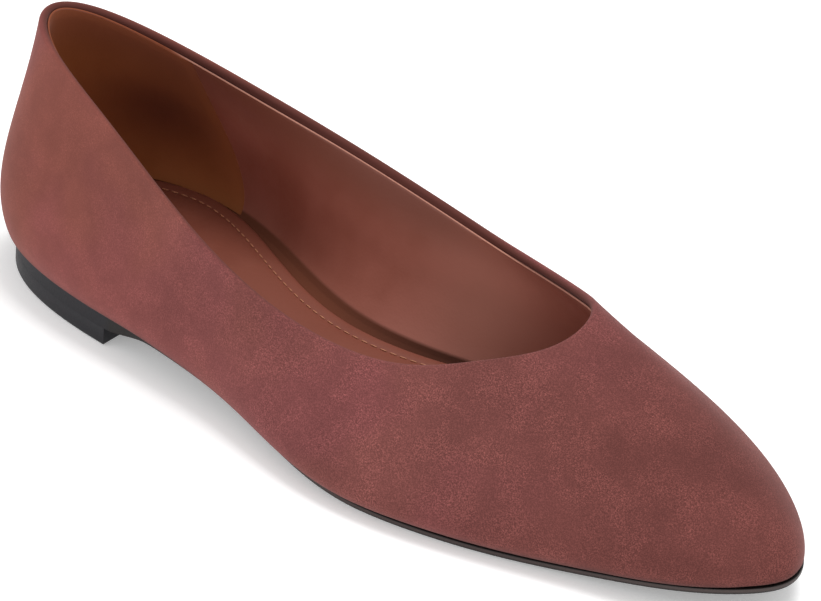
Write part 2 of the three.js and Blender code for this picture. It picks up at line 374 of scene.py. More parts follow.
def places_round():
    """Places of the stations: even steps from heel to toe on each side."""
    toe = STARTS[TOE_RIB]
    side = np.arange(2 * STATIONS_PER_SIDE) / STATIONS_PER_SIDE
    return np.where(side <= 1, side * toe, toe + (side - 1) * (ROUND_TRIP - toe))


def outward_at(place):
    """Outward direction of the feather line in plan."""
    before, after = rib_at(place - NUDGE * ROUND_TRIP), rib_at(place + NUDGE * ROUND_TRIP)
    x, y = after["y"] - before["y"], before["x"] - after["x"]
    length = np.hypot(x, y)
    return x / length, y / length


def beside_feather(place, out, up):
    """Points beside the feather line: out from it in plan, and up from the feather height there."""
    rib = rib_at(place)
    out_x, out_y = outward_at(place)
    x, y = rib["x"] + out_x * out, rib["y"] + out_y * out
    return np.stack([x, y, feather_height(x) + up], -1)


def outer_face(place, share):
    """Outer face of the upper: each rib is one cubic curve from the feather line to the topline."""
    place, share = np.broadcast_arrays(place, share)
    rib = rib_at(place)
    out_x, out_y = outward_at(place)
    foot = np.stack([rib["x"], rib["y"], feather_height(rib["x"])], -1)
    top = np.stack([rib["top_x"], rib["top_y"], rib["top_z"]], -1)
    low = foot + np.stack([out_x * rib["belly"], out_y * rib["belly"], rib["rise"]], -1)
    high = np.stack([
        mix(rib["top_x"], rib["x"], rib["reach"]),
        mix(rib["top_y"], rib["y"], rib["reach"]),
        rib["top_z"] - rib["drop"],
    ], -1)
    s = share[..., None]
    r = 1 - s
    return r**3 * foot + 3 * r**2 * s * low + 3 * r * s**2 * high + s**3 * top


def face_frame(place, share):
    """The outer face with its normal, its direction up the rib and the rib's speed there."""
    step = NUDGE * ROUND_TRIP
    point = outer_face(place, share)
    along = outer_face(place + step, share) - outer_face(place - step, share)
    up = outer_face(place, share + NUDGE) - outer_face(place, share - NUDGE)
    speed = np.linalg.norm(up, axis=-1) / (2 * NUDGE)
    normal = np.cross(along, up)
    normal /= np.linalg.norm(normal, axis=-1, keepdims=True)
    return point, normal, up / (2 * NUDGE * speed[..., None]), speed


def wall_point(place, share, depth):
    """Points inside the wall, at a depth from the outer face."""
    point, normal, _, _ = face_frame(place, share)
    return point - normal * np.asarray(depth)[..., None]


def share_below_rim(place, below):
    """Share of the rib that lies a length below the topline."""
    speed = face_frame(place, np.ones_like(place))[3]
    return 1 - below / speed


def hollow_depth(place, share):
    """How far the hand-placed hollows draw the outer face in."""
    rib = rib_at(place)
    depth = 0
    for x, side, height, along, up, most in HOLLOWS:
        far = ((rib["x"] - x) / along) ** 2 + ((share - height) / up) ** 2
        depth = depth + most * np.exp(-far) * (np.sign(rib["y"]) == side)
    return depth


def lining_drop(place):
    """Depth of the lining's cut edge below the topline: least over the heel grip."""
    forward = smooth(rib_at(place)["top_x"], 0, LINING_DROP_REACH)
    return mix(LINING_DROP_BACK, LINING_DROP, forward)


def lining_depth(share, fold_end):
    """Depth of the lining's face: over the suede's fold, and back to the wall's own below it."""
    settled = smooth(1 - share / fold_end, 0, LINING_SETTLE)
    return mix(FOLD_THICKNESS + GLUE_GAP + LINING_THICKNESS, WALL_THICKNESS, settled)


def place_at(x, side):
    """Place where the feather line on one side passes x. side is 1 for lateral and -1 for medial."""
    near = 0.0
    far = STARTS[LATERAL_END_RIB] if side > 0 else STARTS[MEDIAL_END_RIB] - ROUND_TRIP
    for _ in range(HALVINGS):
        middle = (near + far) / 2
        if rib_at(np.array(middle))["x"] < x:
            near = middle
        else:
            far = middle
    return near


def spot_share(points, middle, reach):
    """1 in the middle of a soft spot, fading out over its reach along x, y and z."""
    far = np.linalg.norm((points - middle) / reach, axis=-1)
    return np.exp(-(far**2))


# Meshes.

def in_metres(points):
    """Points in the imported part's frame, whose origin is the middle of the heel's ground face."""
    return (np.asarray(points, float) - [HEEL_LENGTH / 2, 0, 0]) * MM


def link(name, data):
    """An object for a mesh, a light or a camera, linked to the scene."""
    made = bpy.data.objects.new(name, data)
    bpy.context.scene.collection.objects.link(made)
    return made


def make_piece(name, points, faces, material):
    """A smooth piece with crisp corners, of one material."""
    mesh = bpy.data.meshes.new(name)
    mesh.from_pydata(in_metres(points).tolist(), [], [list(map(int, face)) for face in faces])
    mesh.polygons.foreach_set("use_smooth", [True] * len(mesh.polygons))
    mesh.set_sharp_from_angle(angle=math.radians(CORNER_ANGLE))
    mesh.materials.append(material)
    mesh.update()
    piece = link(name, mesh)
    return piece


def set_attribute(piece, name, values, unit=1):
    """A share, or a length in a unit, at each vertex for the material to read."""
    attribute = piece.data.attributes.new(name, "FLOAT", "POINT")
    attribute.data.foreach_set("value", np.asarray(values * unit, np.float32).ravel())


def loft(sections, joined=True):
    """Vertices and faces of a closed solid from closed sections, joined round or capped at the ends."""
    around, across = sections.shape[:2]
    spans = around if joined else around - 1
    i, j = np.meshgrid(np.arange(spans), np.arange(across), indexing="ij")
    ahead, beside = (i + 1) % around, (j + 1) % across
    faces = np.stack([
        i * across + j, ahead * across + j, ahead * across + beside, i * across + beside,
    ], -1).reshape(-1, 4).tolist()
    if not joined:
        half = across // 2
        last = (around - 1) * across
        for j in range(half - 1):
            mate = across - 1 - j
            faces.append([j, j + 1, mate - 1, mate])
            faces.append([last + mate, last + mate - 1, last + j + 1, last + j])
    return sections.reshape(-1, 3), faces


def ring_faces(levels, around):
    """Faces between outlines of as many points each, lowest first."""
    faces = []
    for level in range(levels - 1):
        a = level * around + np.arange(around)
        b = level * around + (np.arange(around) + 1) % around
        faces += np.stack([a, b, b + around, a + around], -1).tolist()
    return faces


def stack(outlines, columns, top_height, bottom_height):
    """Vertices and faces of a closed solid from outlines, lowest first.

    Rungs across the shoe fill its ends, at the heights that two functions of x and the share across
    give.
    """
    around = len(outlines[0])
    half = around // 2
    points = [np.concatenate(outlines)]
    count = len(points[0])
    faces = ring_faces(len(outlines), around)
    rung = np.arange(1, half)
    across = np.arange(1, columns) / columns
    for first, height, facing_up in (
        ((len(outlines) - 1) * around, top_height, True),
        (0, bottom_height, False),
    ):
        edge = points[0][first:first + around]
        right, left = edge[rung][:, None], edge[around - rung][:, None]
        inner = mix(right, left, across[None, :, None])
        inner[..., 2] = height(inner[..., 0], np.broadcast_to(across, inner.shape[:2]))
        points.append(inner.reshape(-1, 3))
        grid = np.empty((half - 1, columns + 1), int)
        grid[:, 0] = first + rung
        grid[:, -1] = first + around - rung
        grid[:, 1:-1] = count + np.arange(inner[..., 0].size).reshape(half - 1, columns - 1)
        count += inner[..., 0].size
        made = np.stack([grid[:-1, :-1], grid[1:, :-1], grid[1:, 1:], grid[:-1, 1:]], -1)
        made = made.reshape(-1, 4).tolist()
        made += [[first, grid[0, c], grid[0, c + 1]] for c in range(columns)]
        made += [[grid[-1, c], first + half, grid[-1, c + 1]] for c in range(columns)]
        faces += made if facing_up else [face[::-1] for face in made]
    return np.concatenate(points), faces


# Materials.

def srgb(code):
    """Linear colour from an sRGB hex value."""
    channels = [int(code[i:i + 2], 16) / 255 for i in (1, 3, 5)]
    return tuple(c / 12.92 if c <= 0.04045 else ((c + 0.055) / 1.055) ** 2.4 for c in channels) + (1,)


def add(tree, kind, inputs=None, **settings):
    """A node with its settings, and its inputs as values or as sockets to link."""
    made = tree.nodes.new(kind)
    for name, value in settings.items():
        setattr(made, name, value)
    for key, value in (inputs or {}).items():
        if isinstance(value, bpy.types.NodeSocket):
            tree.links.new(value, made.inputs[key])
        else:
            made.inputs[key].default_value = value
    return made


def new_material(name, **constants):
    """A material with one Principled shader and its constant sockets set, and the place it is read at."""
    material = bpy.data.materials.new(name)
    material.use_nodes = True
    shader = material.node_tree.nodes["Principled BSDF"]
    for socket, value in constants.items():
        shader.inputs[socket.replace("_", " ")].default_value = value
    place = add(material.node_tree, "ShaderNodeTexCoord").outputs["Object"]
    return material, material.node_tree, shader, place


def feed(tree, shader, **sockets):
    """Link sockets of the tree to the shader's inputs."""
    for name, socket in sockets.items():
        tree.links.new(socket, shader.inputs[name.replace("_", " ")])


def per_mm(size):
    """Texture scale for a pattern whose features are this many millimetres wide."""
    return 1 / (size * MM)


# Sockets of a Mix node that mixes colours, by number because their names repeat: the share, the colour
# at 0, the colour at 1 and the result.
SHARE, UNDER, OVER, MIXED = 0, 6, 7, 2


def brushed_suede():
    """Suede: the flesh side of a split hide, buffed to a short nap. Matte, with soft clouds where the
    nap lies one way or the other, curly fibre ends, and a pale bloom at grazing angles. The nap is
    finest over the heel counter, where the hide is stretched. The colour is warm brown at the heel and
    darker over the toe, partly the dye's tint and partly painted shade, with rosy drifts of dye between.
    Painted shade darkens it just above the sole and on the inside of the fold at the topline. The curls
    are drawn 0.32 mm wide, as coarse as they need to be to show."""
    material, tree, shader, place = new_material(
        "brushed_suede", Roughness=0.93, Sheen_Weight=0.25, Sheen_Roughness=0.4, Specular_IOR_Level=0.12,
    )
    shader.inputs["Sheen Tint"].default_value = srgb("#C9A3A0")
    along = add(tree, "ShaderNodeSeparateXYZ", {"Vector": place}).outputs["X"]
    fold, over_sole = (
        add(tree, "ShaderNodeAttribute", attribute_name=name).outputs["Fac"]
        for name in ("fold_inside", "over_sole")
    )
    clouds = add(tree, "ShaderNodeTexNoise", {
        "Vector": place, "Scale": per_mm(26), "Detail": 2.0, "Roughness": 0.5, "Distortion": 0.15,
    })
    patches = add(tree, "ShaderNodeTexNoise", {
        "Vector": place, "Scale": per_mm(8), "Detail": 3.0, "Roughness": 0.6,
    })
    fibre = add(tree, "ShaderNodeTexNoise", {
        "Vector": place, "Scale": per_mm(0.32), "Detail": 1.5, "Roughness": 0.6, "Distortion": 0.5,
    })
    dye = add(tree, "ShaderNodeTexNoise", {
        "Vector": place, "Scale": per_mm(36), "Detail": 2.0, "Roughness": 0.5,
    })
    front = add(tree, "ShaderNodeMapRange", {
        "Value": along, "From Min": 0.0, "From Max": 110 * MM,
    }, interpolation_type="SMOOTHSTEP").outputs["Result"]
    toe = add(tree, "ShaderNodeMapRange", {
        "Value": along, "From Min": 120 * MM, "From Max": 200 * MM,
    }, interpolation_type="SMOOTHSTEP").outputs["Result"]
    rosy = add(tree, "ShaderNodeMapRange", {
        "Value": dye.outputs["Fac"], "From Min": 0.4, "From Max": 0.62, "To Max": 0.45,
    }, interpolation_type="SMOOTHSTEP").outputs["Result"]
    # Colour along the shoe: lighter at the heel and darker over the toe, partly the dye's tint and partly
    # painted shade, with rosy drifts of dye between.
    hide = srgb("#7C463D")
    for share, dye_and_shade in ((front, "#74433F"), (rosy, "#753F42"), (toe, "#693B37")):
        hide = add(tree, "ShaderNodeMix", {
            SHARE: share, UNDER: hide, OVER: srgb(dye_and_shade),
        }, data_type="RGBA").outputs[MIXED]
    cloud_share = add(tree, "ShaderNodeMapRange", {
        "Value": clouds.outputs["Fac"], "From Min": 0.32, "From Max": 0.68, "To Min": 0.94, "To Max": 1.1,
    }, interpolation_type="SMOOTHSTEP")
    patch_share = add(tree, "ShaderNodeMapRange", {
        "Value": patches.outputs["Fac"], "From Min": 0.3, "From Max": 0.7, "To Min": 0.93, "To Max": 1.07,
    }, interpolation_type="SMOOTHSTEP")
    coarse = add(tree, "ShaderNodeMapRange", {
        "Value": patches.outputs["Fac"], "From Min": 0.38, "From Max": 0.62, "To Min": 0.55, "To Max": 1.1,
    }, interpolation_type="SMOOTHSTEP")
    nap_share = add(tree, "ShaderNodeMapRange", {
        "Value": front, "To Min": 0.3, "To Max": 1.0,
    })
    strength = add(tree, "ShaderNodeMath", {
        0: coarse.outputs["Result"], 1: nap_share.outputs["Result"],
    }, operation="MULTIPLY")
    ends = add(tree, "ShaderNodeMapRange", {
        "Value": fibre.outputs["Fac"], "From Min": 0.42, "From Max": 0.74, "To Min": -0.08, "To Max": 0.24,
    })
    swing = add(tree, "ShaderNodeMath", {
        0: ends.outputs["Result"], 1: strength.outputs["Value"],
    }, operation="MULTIPLY")
    grain = add(tree, "ShaderNodeMath", {
        0: swing.outputs["Value"], 1: 3.0, 2: 0.97,
    }, operation="MULTIPLY_ADD")
    # Darker over the last few millimetres above the sole: painted shade.
    low = add(tree, "ShaderNodeMapRange", {
        "Value": over_sole, "From Min": 0.0, "From Max": 3 * MM, "To Min": 0.6, "To Max": 1.0,
    }, interpolation_type="SMOOTHSTEP")
    tone = cloud_share.outputs["Result"]
    for share in (patch_share.outputs["Result"], grain.outputs["Value"], low.outputs["Result"]):
        tone = add(tree, "ShaderNodeMath", {0: tone, 1: share}, operation="MULTIPLY").outputs["Value"]
    coloured = add(tree, "ShaderNodeMix", {
        SHARE: 1.0, UNDER: hide, OVER: tone,
    }, data_type="RGBA", blend_type="MULTIPLY")
    # Darker on the inside of the fold at the topline: painted shade.
    pressed = add(tree, "ShaderNodeMix", {
        SHARE: fold, UNDER: coloured.outputs[MIXED], OVER: srgb("#5C342E"),
    }, data_type="RGBA")
    bump = add(tree, "ShaderNodeBump", {
        "Height": fibre.outputs["Fac"], "Strength": 0.35, "Distance": 0.1 * MM,
    })
    feed(tree, shader, Base_Color=pressed.outputs[MIXED], Normal=bump.outputs["Normal"])
    return material


def glazed_leather(name, dark, light, edge, roughness):
    """Lining leather: full-grain kid, dyed and glazed. Smooth, with fine pores and a soft sheen. Painted
    shade darkens it just below its cut edge and a painted highlight lightens one spot. In the trough
    beside the sock it is bare, dull and darker, the darkness partly glue and partly painted shade."""
    material, tree, shader, place = new_material(name, Specular_IOR_Level=0.35)
    hidden, edge_shade, painted_highlight = (
        add(tree, "ShaderNodeAttribute", attribute_name=name).outputs["Fac"]
        for name in ("below_sock", "near_edge", "painted_highlight")
    )
    shade = add(tree, "ShaderNodeTexNoise", {
        "Vector": place, "Scale": per_mm(26), "Detail": 3.0, "Roughness": 0.5,
    })
    pores = add(tree, "ShaderNodeTexVoronoi", {"Vector": place, "Scale": per_mm(0.8)})
    wrinkle = add(tree, "ShaderNodeTexNoise", {
        "Vector": place, "Scale": per_mm(2.2), "Detail": 4.0, "Roughness": 0.6,
    })
    lighter = add(tree, "ShaderNodeMapRange", {
        "Value": shade.outputs["Fac"], "From Min": 0.35, "From Max": 0.65,
    }, interpolation_type="SMOOTHSTEP").outputs["Result"]
    along = add(tree, "ShaderNodeSeparateXYZ", {"Vector": place}).outputs["X"]
    ahead = add(tree, "ShaderNodeMapRange", {
        "Value": along, "From Min": 40 * MM, "From Max": 110 * MM,
    }, interpolation_type="SMOOTHSTEP")
    # Trough colour, darker forward of the heel: partly glue, partly painted shade.
    trough = add(tree, "ShaderNodeMix", {
        SHARE: ahead.outputs["Result"], UNDER: srgb("#74402C"), OVER: srgb("#47251A"),
    }, data_type="RGBA").outputs[MIXED]
    colour = srgb(dark)
    # Painted shade near the cut edge, a painted highlight, and the trough's darker colour.
    for share, over in (
        (lighter, srgb(light)), (edge_shade, srgb(edge)), (painted_highlight, srgb("#BE8171")), (hidden, trough),
    ):
        colour = add(tree, "ShaderNodeMix", {
            SHARE: share, UNDER: colour, OVER: over,
        }, data_type="RGBA").outputs[MIXED]
    glaze = add(tree, "ShaderNodeMapRange", {
        "Value": wrinkle.outputs["Fac"], "From Min": 0.3, "From Max": 0.7,
        "To Min": roughness - 0.05, "To Max": roughness + 0.07,
    })
    gloss = add(tree, "ShaderNodeMix", {"Factor": hidden, "A": glaze.outputs["Result"], "B": 1.0})
    relief = add(tree, "ShaderNodeMath", {
        0: pores.outputs["Distance"], 1: wrinkle.outputs["Fac"],
    }, operation="ADD")
    bump = add(tree, "ShaderNodeBump", {
        "Height": relief.outputs["Value"], "Strength": 0.3, "Distance": 0.05 * MM,
    })
    feed(tree, shader, Base_Color=colour, Roughness=gloss.outputs["Result"], Normal=bump.outputs["Normal"])
    return material


def grip_suede():
    """Heel grip: undyed reversed lining leather, brown, darker in one spot on the medial side, painted
    shade, and redder under the rim, where the suede's dye has rubbed off on it."""
    material, tree, shader, place = new_material(
        "grip_suede", Roughness=0.9, Sheen_Weight=0.04, Sheen_Roughness=0.5, Specular_IOR_Level=0.1,
    )
    clouds = add(tree, "ShaderNodeTexNoise", {
        "Vector": place, "Scale": per_mm(20), "Detail": 2.0, "Roughness": 0.5,
    })
    nap = add(tree, "ShaderNodeTexNoise", {
        "Vector": place, "Scale": per_mm(0.8), "Detail": 2.0, "Roughness": 0.7,
    })
    lighter = add(tree, "ShaderNodeMapRange", {
        "Value": clouds.outputs["Fac"], "From Min": 0.3, "From Max": 0.7,
    }, interpolation_type="SMOOTHSTEP").outputs["Result"]
    at_rim, grip_shade = (
        add(tree, "ShaderNodeAttribute", attribute_name=name).outputs["Fac"]
        for name in ("at_rim", "grip_shade")
    )
    colour = srgb("#96562F")
    # The darker spot on the grip is painted shade.
    for share, over in ((lighter, "#A9653C"), (at_rim, "#7C432E"), (grip_shade, "#743F29")):
        colour = add(tree, "ShaderNodeMix", {
            SHARE: share, UNDER: colour, OVER: srgb(over),
        }, data_type="RGBA").outputs[MIXED]
    bump = add(tree, "ShaderNodeBump", {
        "Height": nap.outputs["Fac"], "Strength": 0.5, "Distance": 0.1 * MM,
    })
    feed(tree, shader, Base_Color=colour, Normal=bump.outputs["Normal"])
    return material


def cut_leather_edge():
    """Cut edge of the lining: bare fibre of undyed leather, paler than its face and matte, but covered
    by the grip's brown leather at the heel."""
    material, tree, shader, place = new_material("cut_leather_edge", Roughness=0.8, Specular_IOR_Level=0.2)
    fibre = add(tree, "ShaderNodeTexNoise", {"Vector": place, "Scale": per_mm(0.6), "Detail": 2.0})
    at_grip = add(tree, "ShaderNodeAttribute", attribute_name="at_grip").outputs["Fac"]
    bare = add(tree, "ShaderNodeMix", {
        SHARE: fibre.outputs["Fac"], UNDER: srgb("#A06A58"), OVER: srgb("#C08C7B"),
    }, data_type="RGBA")
    colour = add(tree, "ShaderNodeMix", {
        SHARE: at_grip, UNDER: bare.outputs[MIXED], OVER: srgb("#84472E"),
    }, data_type="RGBA")
    feed(tree, shader, Base_Color=colour.outputs[MIXED])
    return material


def spun_thread():
    """Sewing thread: bonded polyester, twisted. Tan, with a slight shine along its strands."""
    material, tree, shader, place = new_material("spun_polyester_thread", Roughness=0.5)
    strands = add(tree, "ShaderNodeTexNoise", {"Vector": place, "Scale": per_mm(0.3), "Detail": 1.0})
    colour = add(tree, "ShaderNodeMix", {
        SHARE: strands.outputs["Fac"], UNDER: srgb("#A8694C"), OVER: srgb("#C98B69"),
    }, data_type="RGBA")
    feed(tree, shader, Base_Color=colour.outputs[MIXED])
    return material


def moulded_rubber(name, dark, light, roughness, grain, tints=()):
    """Sole rubber: moulded and lightly buffed. Near black, with a fine matte grain. Each tint is the
    name of an attribute and the colour that it brings in."""
    material, tree, shader, place = new_material(name, Specular_IOR_Level=0.3)
    cast = add(tree, "ShaderNodeTexNoise", {"Vector": place, "Scale": per_mm(12), "Detail": 3.0})
    fine = add(tree, "ShaderNodeTexNoise", {"Vector": place, "Scale": per_mm(grain), "Detail": 2.0})
    layers = [(cast.outputs["Fac"], light)]
    for attribute, tint in tints:
        layers.append((add(tree, "ShaderNodeAttribute", attribute_name=attribute).outputs["Fac"], tint))
    colour = srgb(dark)
    for share, over in layers:
        colour = add(tree, "ShaderNodeMix", {
            SHARE: share, UNDER: colour, OVER: srgb(over),
        }, data_type="RGBA").outputs[MIXED]
    gloss = add(tree, "ShaderNodeMapRange", {
        "Value": fine.outputs["Fac"], "To Min": roughness - 0.1, "To Max": roughness + 0.1,
    })
    bump = add(tree, "ShaderNodeBump", {
        "Height": fine.outputs["Fac"], "Strength": 0.3, "Distance": 0.06 * MM,
    })
    feed(tree, shader, Base_Color=colour, Roughness=gloss.outputs["Result"], Normal=bump.outputs["Normal"])
    return material


def floor_paper():
    """Studio floor: seamless white paper, matte, with a trace of tooth. It glows a little: painted
    light that lifts the shadows cast on it.
    """
    material, tree, shader, place = new_material(
        "seamless_paper", Roughness=0.95, Specular_IOR_Level=0.1,
        Emission_Color=WHITE, Emission_Strength=FLOOR_GLOW,
    )
    tooth = add(tree, "ShaderNodeTexNoise", {"Vector": place, "Scale": per_mm(2), "Detail": 2.0})
    colour = add(tree, "ShaderNodeMix", {
        SHARE: tooth.outputs["Fac"], UNDER: srgb("#F4F4F4"), OVER: srgb("#F8F8F8"),
    }, data_type="RGBA")
    feed(tree, shader, Base_Color=colour.outputs[MIXED])
    return material


# Pieces.

def suede_upper():
    """Suede shell: turned in under the foot, and folded over at the topline."""
    place = places_round()[:, None]
    point, normal, up, _ = face_frame(place, np.ones_like(place))
    roll = FOLD_THICKNESS / 2
    rolled_share = evenly(FOLD_STEPS + 1)
    turn = (rolled_share * math.pi)[..., None]
    rolled = point - roll * normal - roll * up + roll * (normal * np.cos(turn) + up * np.sin(turn))
    outer_shares = np.linspace(SUEDE_FOOT_SHARE, 1, FACE_STEPS)[None, :-1] * share_below_rim(place, roll)
    fold_end = share_below_rim(place, FOLD_DEPTH)
    fold_shares = mix(share_below_rim(place, roll * FOLD_START), fold_end, evenly(FOLD_INNER_STEPS))
    back_shares = mix(fold_end * FOLD_SLOPE, SUEDE_FOOT_SHARE, evenly(SUEDE_BACK_STEPS))
    outside = np.concatenate([
        beside_feather(place, -MARGIN_WIDTH, 0),
        beside_feather(place, -FEATHER_ROUND, 0),
        beside_feather(place, -FEATHER_ROUND * QUARTER_MIDDLE, FEATHER_ROUND * QUARTER_MIDDLE),
        wall_point(place, outer_shares, hollow_depth(place, outer_shares)),
    ], axis=1)
    inside = np.concatenate([
        wall_point(place, fold_shares, FOLD_THICKNESS),
        wall_point(place, back_shares, SUEDE_THICKNESS),
        beside_feather(place, -SUEDE_THICKNESS - FEATHER_ROUND, SUEDE_THICKNESS),
        beside_feather(place, -MARGIN_WIDTH, SUEDE_THICKNESS),
    ], axis=1)
    sections = np.concatenate([outside, rolled, inside], axis=1)
    points, faces = loft(sections)
    piece = make_piece("suede_upper", points, faces, brushed_suede())
    fold_inside = np.concatenate([
        np.zeros(outside.shape[1]), smooth(rolled_share[0], *FOLD_SHADE), np.ones(inside.shape[1]),
    ])
    set_attribute(piece, "fold_inside", np.broadcast_to(fold_inside, sections.shape[:2]))
    set_attribute(piece, "over_sole", sections[..., 2] - feather_height(sections[..., 0]), MM)
    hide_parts("upper")
    return piece


def lining():
    """Leather lining: a sheet glued inside the suede, cut off just below the fold of the topline."""
    place = places_round()[:, None]
    back = FOLD_THICKNESS + GLUE_GAP
    front = back + LINING_THICKNESS
    low_back = SUEDE_THICKNESS + GLUE_GAP
    fold_end = share_below_rim(place, FOLD_DEPTH)
    drop = lining_drop(place)
    front_top = mix(share_below_rim(place, drop + EDGE_ROUND), fold_end, evenly(LINING_TOP_STEPS))
    front_low = mix(fold_end, LINING_FOOT_SHARE, evenly(LINING_FACE_STEPS)[:, 1:])
    back_low = mix(LINING_FOOT_SHARE, fold_end, evenly(LINING_BACK_STEPS))
    back_depth = mix(low_back, back, smooth(evenly(LINING_BACK_STEPS), LINING_RISE, 1))
    sections = np.concatenate([
        wall_point(place, share_below_rim(place, drop + EDGE_GROOVE), back),
        wall_point(place, share_below_rim(place, drop), front - EDGE_WIDTH),
        wall_point(place, share_below_rim(place, drop), front - EDGE_ROUND),
        wall_point(place, front_top, front),
        wall_point(place, front_low, lining_depth(front_low, fold_end)),
        beside_feather(place, -WALL_THICKNESS - FEATHER_ROUND, MARGIN_THICKNESS),
        beside_feather(place, -WALL_THICKNESS - FEATHER_ROUND, MARGIN_THICKNESS - EDGE_ROUND),
        wall_point(place, back_low, back_depth),
    ], axis=1)
    points, faces = loft(sections)
    piece = make_piece("lining", points, faces, glazed_leather(
        "glazed_kid_lining", "#9C5B4B", "#AD6A5B", "#7B4638", 0.45,
    ))
    piece.data.materials.append(cut_leather_edge())
    cut_edge = np.zeros((len(place), sections.shape[1]), int)
    cut_edge[:, 1:3] = 1
    piece.data.polygons.foreach_set("material_index", cut_edge.ravel())
    x, z = sections[..., 0], sections[..., 2]
    # Painted shade just below the cut edge, less of it near the throat.
    edge_shade = 1 - smooth(rib_at(place)["top_z"] - z, *EDGE_SHADE_DEPTH)
    set_attribute(piece, "near_edge", edge_shade * (1 - EDGE_SHADE_LESS * smooth(x, *THROAT_START)))
    # Painted highlight in front of the arch.
    set_attribute(piece, "painted_highlight", spot_share(sections, HIGHLIGHT_SPOT, HIGHLIGHT_REACH))
    near_grip = 1 - smooth(rib_at(place)["top_x"] - GRIP_TOP, *COVER_END)
    set_attribute(piece, "at_grip", np.broadcast_to(near_grip, sections.shape[:2]))
    # Below the sock's top the lining darkens: partly glue, partly painted shade.
    sock_top = feather_height(x) + MARGIN_THICKNESS + CLEARANCE + SOCK_THICKNESS
    set_attribute(piece, "below_sock", smooth(sock_top - z, *TROUGH_DEPTH))
    return piece


def heel_grip():
    """Suede patch on the lining inside the heel, from below the sock to just under the cut edge. Its
    front edges lean back towards the topline, and they and its top are thinned down."""
    fall = np.linspace(0, 1, GRIP_ROWS)
    reach = mix(GRIP_TOP, GRIP_FOOT, np.sin(fall * math.pi / 2))
    medial = np.array([place_at(x, -1) for x in reach])
    lateral = np.array([place_at(x, 1) for x in reach])
    place = mix(medial[None, :], lateral[None, :], np.linspace(0, 1, GRIP_COLUMNS)[:, None])
    rim = place[:, :1]
    speed = face_frame(rim, np.ones_like(rim))[3]
    start = 1 - (lining_drop(rim) + GRIP_RIM) / speed
    shares = mix(start, GRIP_FOOT_SHARE, fall[None, :])
    below = (1 - shares) * speed
    face_depth = lining_depth(shares, 1 - FOLD_DEPTH / speed)
    column = np.arange(GRIP_COLUMNS)
    inward = np.minimum(column, column[::-1])[:, None]
    skive = smooth(inward, 0, SKIVE_COLUMNS)
    skive = skive * smooth(below, LINING_DROP_BACK, LINING_DROP_BACK + SKIVE_WIDTH)
    front = wall_point(place, shares, face_depth + GRIP_EDGE + GRIP_THICKNESS * skive)
    back = wall_point(place, shares, face_depth + GRIP_GLUE)
    sections = np.concatenate([front, back[:, ::-1]], axis=1)
    points, faces = loft(sections, joined=False)
    piece = make_piece("heel_grip", points, faces, grip_suede())
    # Painted shade on one spot of the grip.
    set_attribute(piece, "grip_shade", spot_share(points, GRIP_SHADE_SPOT, GRIP_SHADE_REACH))
    near_rim = RUBBED_SHARE * (1 - smooth(below, *RUBBED_DEPTH))
    set_attribute(piece, "at_rim", np.concatenate([near_rim, near_rim[:, ::-1]], axis=1))
    return piece


def sock_outline(inset, up):
    """Outline of the sock, drawn in from its edge and lifted over the margin that it lies on."""
    place = places_round()
    from_feather = WALL_THICKNESS + CLEARANCE + np.maximum(0, rib_at(place)["tuck"]) + inset
    return beside_feather(place, -from_feather, MARGIN_THICKNESS + CLEARANCE + up)


def padded_sock():
    """Padded sock: leather over thin foam, with a sewn channel inside its edge."""
    top = SOCK_THICKNESS
    outlines = [
        sock_outline(SOCK_EDGE_ROUND, 0),
        sock_outline(0, SOCK_EDGE_ROUND),
        sock_outline(0, top - SOCK_EDGE_ROUND),
    ]
    for turn in QUARTER_TURN[1:]:
        outlines.append(sock_outline(
            SOCK_EDGE_ROUND * (1 - math.cos(turn)), top - SOCK_EDGE_ROUND * (1 - math.sin(turn)),
        ))
    outlines += [sock_outline(STITCH_INSET + inward, top - dip) for inward, dip in CHANNEL]

    def top_height(x, across):
        crown = SOCK_CROWN * (1 - (2 * across - 1) ** 4)
        pressed = sum(
            depth * np.exp(-(((x - middle) / along) ** 2) - ((across - 0.5) / reach) ** 2)
            for middle, along, reach, depth in SOCK_HOLLOWS
        )
        return feather_height(x) + MARGIN_THICKNESS + CLEARANCE + top + crown - pressed

    def bottom_height(x, _across):
        return feather_height(x) + MARGIN_THICKNESS + CLEARANCE

    points, faces = stack(outlines, SOCK_COLUMNS, top_height, bottom_height)
    piece = make_piece("padded_sock", points, faces, glazed_leather(
        "glazed_sock_leather", "#763C2C", "#7D4333", "#763C2C", 0.6,
    ))
    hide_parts("insole")
    return piece


